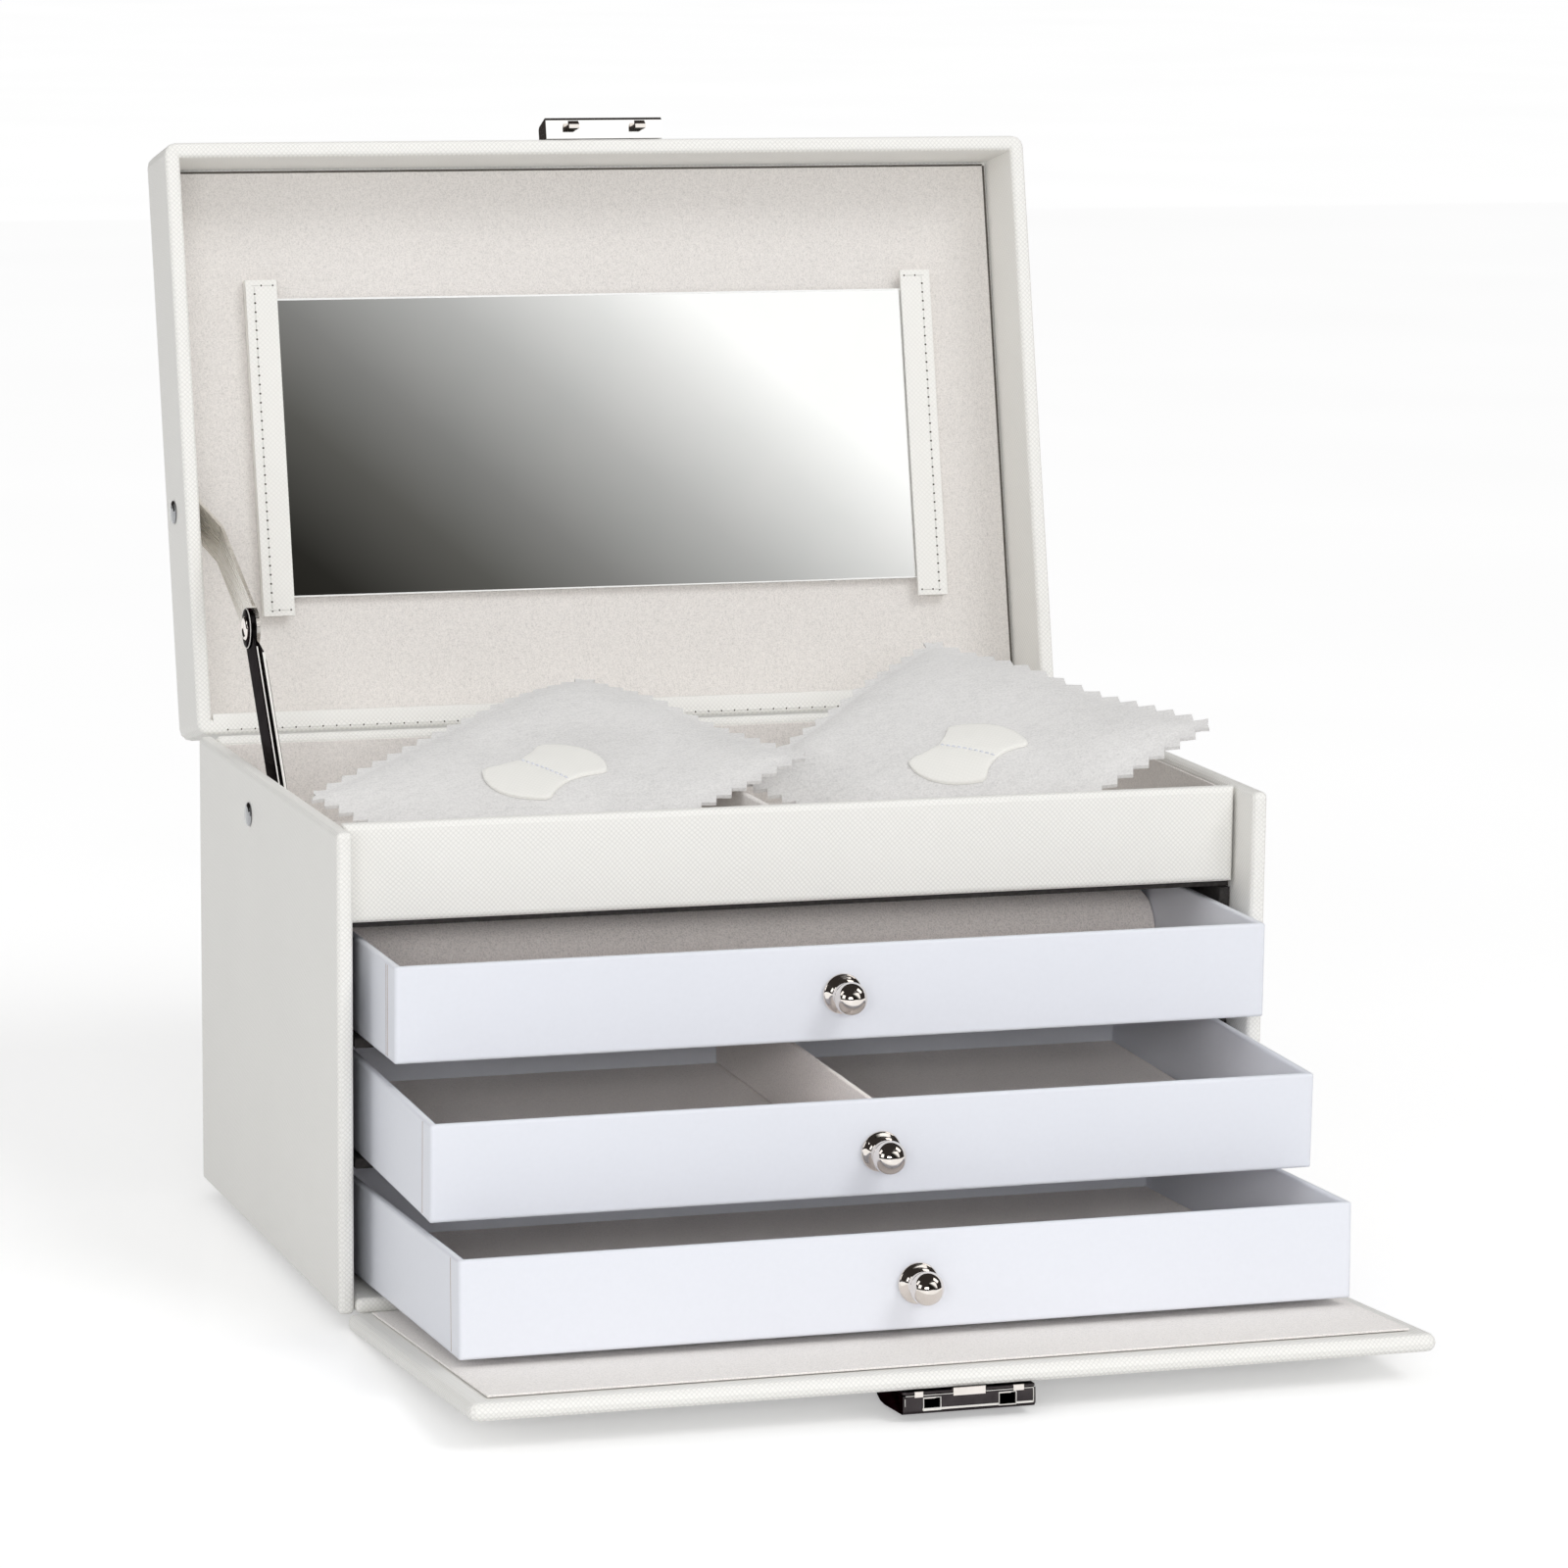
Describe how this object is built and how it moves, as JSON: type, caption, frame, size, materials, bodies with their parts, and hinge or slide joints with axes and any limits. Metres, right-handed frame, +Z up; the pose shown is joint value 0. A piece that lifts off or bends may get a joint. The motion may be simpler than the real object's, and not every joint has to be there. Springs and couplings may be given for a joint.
{
  "type": "jewelry case",
  "caption": "Leatherette jewelry case standing open: a lid with a mirror held back by a folding stay, a drop-down front flap, pull-out drawers with knobs and a top tray holding cloth pouches.",
  "frame": {"origin": "the middle of the open case's bounding box, at the level of the surface that its feet stand on", "axes": "+Z up, +X to the right of someone facing the case, and the drawers and the flap come out towards -Y"},
  "size_m": [0.2711, 0.3706, 0.3155],
  "materials": {
    "leatherette": "off-white embossed leatherette over board",
    "flock": "flocked velvet lining",
    "drawer_paper": "smooth paper over stiff board",
    "black_card": "matt black card",
    "nickel": "polished nickel plate",
    "dark_chrome": "polished dark chrome plate",
    "mirror": "silvered glass with a narrow bevel",
    "pouch_cloth": "soft brushed cloth with pinked edges",
    "foot_rubber": "matt rubber"
  },
  "bodies": {
    "case": {"left_wall": "leatherette", "right_wall": "leatherette", "back_wall": "leatherette", "base_panel": "leatherette", "front_band": "leatherette", "flap_hinge_strip": "leatherette", "foot_front_left": "foot_rubber", "foot_front_right": "foot_rubber", "foot_rear_left": "foot_rubber", "foot_rear_right": "foot_rubber", "tray_board": "black_card", "tray_lining": "flock", "tray_divider": "flock", "bay_liner_left": "black_card", "bay_liner_right": "black_card", "shelf_upper": "black_card", "shelf_lower": "black_card", "body_rivet": "nickel", "pouch_left": "pouch_cloth", "pouch_right": "pouch_cloth", "pouch_tab_left": "leatherette", "pouch_tab_right": "leatherette"},
    "lid": {"lid_shell": "leatherette", "lid_lining": "flock", "mirror": "mirror", "mirror_strap_left": "leatherette", "mirror_strap_right": "leatherette", "lid_hinge_strip": "leatherette", "lid_catch": "nickel", "catch_stud_left": "nickel", "catch_stud_right": "nickel", "lid_rivet": "nickel"},
    "stay_lower": {"stay_lower_link": "dark_chrome", "stay_middle_rivet": "nickel"},
    "stay_upper": {"stay_upper_link": "nickel"},
    "flap": {"flap_board": "leatherette", "flap_lining": "flock", "lock_back_plate": "dark_chrome", "lock_case": "dark_chrome"},
    "lock_slider": {"lock_bolt": "nickel"},
    "drawer_1": {"drawer_1_tray": "drawer_paper", "drawer_1_lining": "flock", "drawer_1_knob": "nickel", "drawer_1_ring_cushion": "flock"},
    "drawer_2": {"drawer_2_tray": "drawer_paper", "drawer_2_lining": "flock", "drawer_2_knob": "nickel", "drawer_2_divider": "flock"},
    "drawer_3": {"drawer_3_tray": "drawer_paper", "drawer_3_lining": "flock", "drawer_3_knob": "nickel"}
  },
  "joints": [
    {"name": "lid_hinge", "type": "hinge", "parent": "case", "child": "lid", "pos_m": [0, 0.1192, 0.1383], "axis": [1, 0, 0], "range_deg": [0, 102.8], "deforming": ["pouch_left", "pouch_right", "pouch_tab_left", "pouch_tab_right"]},
    {"name": "stay_lower_pivot", "type": "hinge", "parent": "case", "child": "stay_lower", "pos_m": [-0.1264, 0.0525, 0.1257], "axis": [1, 0, 0], "range_deg": [0, 128.26]},
    {"name": "stay_upper_pivot", "type": "hinge", "parent": "lid", "child": "stay_upper", "pos_m": [-0.1289, 0.14939, 0.20076], "axis": [1, 0, 0], "range_deg": [-100.02, 0]},
    {"name": "flap_hinge", "type": "hinge", "parent": "case", "child": "flap", "pos_m": [0, -0.0556, 0.0025], "axis": [-1, 0, 0], "range_deg": [-90, 0]},
    {"name": "lock_bolt_slide", "type": "slide", "parent": "flap", "child": "lock_slider", "axis": [1, 0, 0], "range_m": [0, 0.003], "stiffness_N_per_m": 40},
    {"name": "drawer_1_slide", "type": "slide", "parent": "case", "child": "drawer_1", "axis": [0, 1, 0], "range_m": [-0.087, 0.0373]},
    {"name": "drawer_2_slide", "type": "slide", "parent": "case", "child": "drawer_2", "axis": [0, 0.9998, 0.0209], "range_m": [-0.05, 0.0743]},
    {"name": "drawer_3_slide", "type": "slide", "parent": "case", "child": "drawer_3", "axis": [0, 1, 0], "range_m": [-0.02, 0.1043]}
  ],
  "couplings": [
    {"joint": "stay_lower_pivot", "follows": "lid_hinge", "ratio": 1.2476},
    {"joint": "stay_upper_pivot", "follows": "lid_hinge", "ratio": -0.97286}
  ]
}
